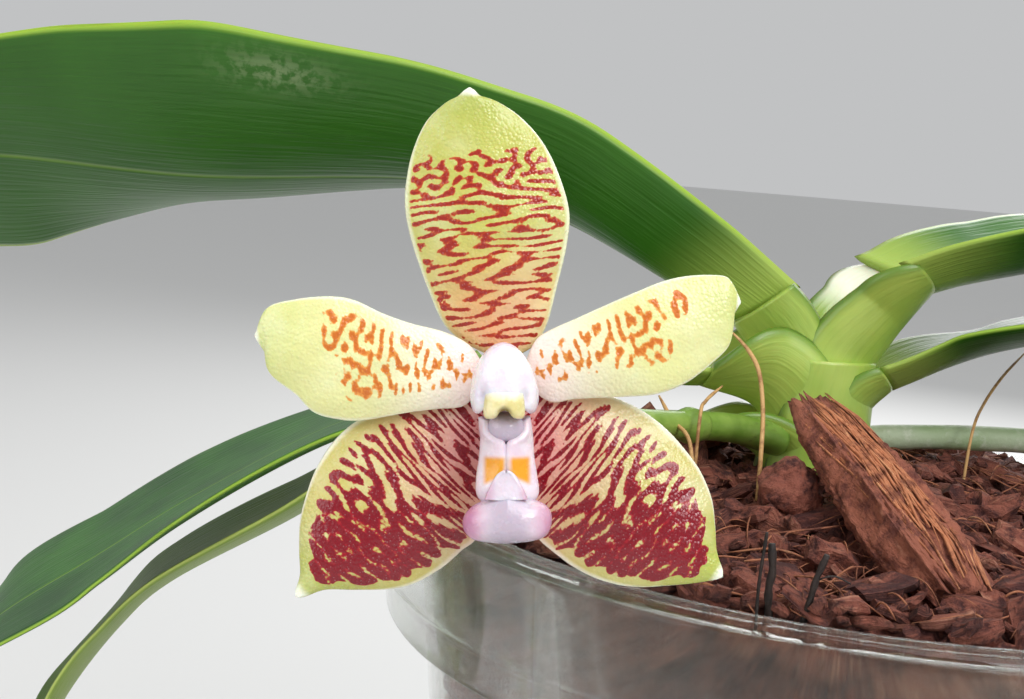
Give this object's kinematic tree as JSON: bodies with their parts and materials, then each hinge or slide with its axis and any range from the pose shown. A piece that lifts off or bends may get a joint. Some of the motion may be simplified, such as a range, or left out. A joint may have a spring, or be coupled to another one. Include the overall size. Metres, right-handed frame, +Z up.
{
  "type": "potted moth orchid",
  "caption": "Potted moth orchid: a barred flower on a short spike beside a leaning fan of arching strap leaves, rooted in bark in a clear round pot.",
  "frame": {"origin": "centre of the pot's flat base", "axes": "+Z up the pot, -Y towards the flower's face, -X along the largest leaf"},
  "size_m": [0.3353, 0.153, 0.1898],
  "materials": {
    "clear_plastic": "clear dark-green tinted plastic, glossy",
    "bark": "rough red-brown bark and coir",
    "sheath_green": "waxy pale green",
    "leaf_green": "leathery dark green, satin",
    "leaf_lime": "leathery yellow-green, satin",
    "root_silver": "dry silvery green, matt",
    "spike_green": "green, satin",
    "sepal_yellow": "waxy yellow-green with brick-red bars",
    "petal_cream": "waxy cream with orange-brown bars",
    "sepal_crimson": "waxy cream with crimson bars and blotches",
    "column_white": "waxy white, faintly lilac",
    "lip_mauve": "waxy pale mauve with orange patches",
    "cap_yellow": "waxy pale yellow"
  },
  "bodies": {
    "root": {"pot": "clear_plastic", "bark_mix": "bark", "husk_chunk": "bark", "stem": "sheath_green", "leaf_left_upper": "leaf_green", "leaf_left_middle": "leaf_green", "leaf_left_lower": "leaf_lime", "leaf_right_upper": "leaf_green", "leaf_right_lower": "leaf_green", "root_upper": "root_silver", "roots_lower": "root_silver", "flower_spike": "spike_green", "flower_stalk": "spike_green", "sepal_dorsal": "sepal_yellow", "petal_left": "petal_cream", "petal_right": "petal_cream", "sepal_left": "sepal_crimson", "sepal_right": "sepal_crimson", "column": "column_white", "anther_cap": "cap_yellow", "lip": "lip_mauve", "lip_callus": "lip_mauve"}
  },
  "joints": []
}
